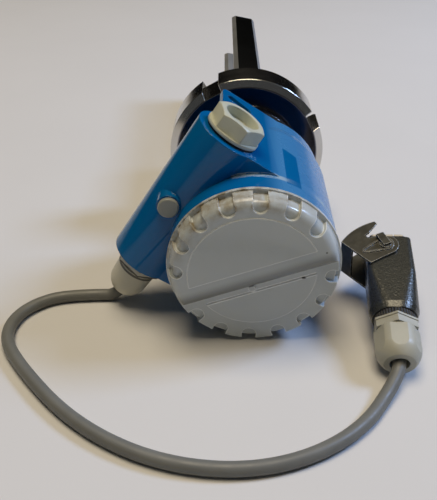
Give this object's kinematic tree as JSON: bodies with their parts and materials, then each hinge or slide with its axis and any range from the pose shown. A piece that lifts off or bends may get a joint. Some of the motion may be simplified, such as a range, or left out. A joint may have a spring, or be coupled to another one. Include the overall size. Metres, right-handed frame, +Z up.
{
  "type": "vibrating fork level switch",
  "caption": "Vibrating fork level switch: cast head with screw cover, slotted union nut, long two-tine fork, and a short cable to a connector hood with locking lever.",
  "frame": {"origin": "on the table under the middle of the instrument's box, cable and hood not counted", "axes": "+Z up from the table, +Y along the instrument from the cover to the fork, +X to the right"},
  "size_m": [0.2025, 0.4527, 0.1072],
  "materials": {
    "housing_paint": "gloss",
    "cover_paint": "gloss",
    "polished_steel": "polished",
    "fork_steel": "polished",
    "plug_plastic": "satin",
    "gland_plastic": "satin",
    "black_rubber": "matte",
    "cable_sheath": "satin",
    "hood_paint": "satin",
    "lever_steel": "satin",
    "insert_plastic": "satin",
    "knurl_plastic": "matte",
    "potting": "satin",
    "terminal_plastic": "satin",
    "switch_plastic": "satin",
    "screw_steel": "satin",
    "contact_brass": "satin",
    "drive_ceramic": "matte",
    "lead_insulation": "satin",
    "lamp_lens": "gloss"
  },
  "bodies": {
    "instrument": {"process_collar": "polished_steel", "neck_tube": "polished_steel", "neck_seal": "black_rubber", "neck_ring_nut": "screw_steel", "sensor_tube": "fork_steel", "fork": "fork_steel", "piezo_discs": "drive_ceramic", "stack_bolt": "screw_steel", "stack_nut": "screw_steel", "sensor_leads": "lead_insulation", "housing": "housing_paint", "vent_cap": "gland_plastic", "plug_seal": "black_rubber", "blanking_plug": "plug_plastic", "gland_seal": "black_rubber", "gland_body": "gland_plastic", "gland_cap_nut": "gland_plastic", "gland_insert": "black_rubber", "cable_tail": "cable_sheath", "electronic_insert": "potting", "insert_screws": "screw_steel", "terminal_block": "terminal_plastic", "terminal_screws": "screw_steel", "status_lamp": "lamp_lens", "earth_screw": "screw_steel", "cable_cores": "lead_insulation", "cable": "cable_sheath", "hood_shell": "hood_paint", "hood_gasket": "black_rubber", "contact_insert": "insert_plastic", "contacts": "contact_brass", "insert_fixing_screw": "screw_steel", "lever_pegs": "screw_steel", "hood_gland_ring": "knurl_plastic", "hood_gland_body": "gland_plastic", "hood_gland_cap_nut": "gland_plastic", "hood_gland_insert": "black_rubber", "hood_cable_tail": "cable_sheath"},
    "nut": {"union_nut": "polished_steel"},
    "cover_carrier": {"cover_seal": "black_rubber"},
    "cover": {"cover": "cover_paint"},
    "lever": {"locking_lever": "lever_steel"},
    "fail_safe_switch": {"fail_safe_switch": "switch_plastic"},
    "density_switch": {"density_switch": "switch_plastic"}
  },
  "joints": [
    {"name": "nut_turn", "type": "hinge", "parent": "instrument", "child": "nut", "pos_m": [0.01264, -0.05875, 0.04594], "axis": [0, -0.9987, -0.0519], "continuous": true},
    {"name": "cover_travel", "type": "slide", "parent": "instrument", "child": "cover_carrier", "axis": [0, -0.9987, -0.0519], "range_m": [0, 0.00801]},
    {"name": "cover_turn", "type": "hinge", "parent": "cover_carrier", "child": "cover", "pos_m": [0.01264, -0.17859, 0.03972], "axis": [0, -0.9987, -0.0519], "range_deg": [0, 1440]},
    {"name": "lever_swing", "type": "hinge", "parent": "instrument", "child": "lever", "pos_m": [0.08027, -0.14552, 0.0243], "axis": [0.0929, 0.2369, -0.9671], "range_deg": [0, 42]},
    {"name": "fail_safe_slide", "type": "slide", "parent": "instrument", "child": "fail_safe_switch", "axis": [-0.8387, -0.0282, 0.5439], "range_m": [0, 0.003]},
    {"name": "density_slide", "type": "slide", "parent": "instrument", "child": "density_switch", "axis": [-0.8387, -0.0282, 0.5439], "range_m": [0, 0.003]}
  ],
  "couplings": [
    {"joint": "cover_travel", "follows": "cover_turn", "m_per_rad": 0.00031831}
  ]
}
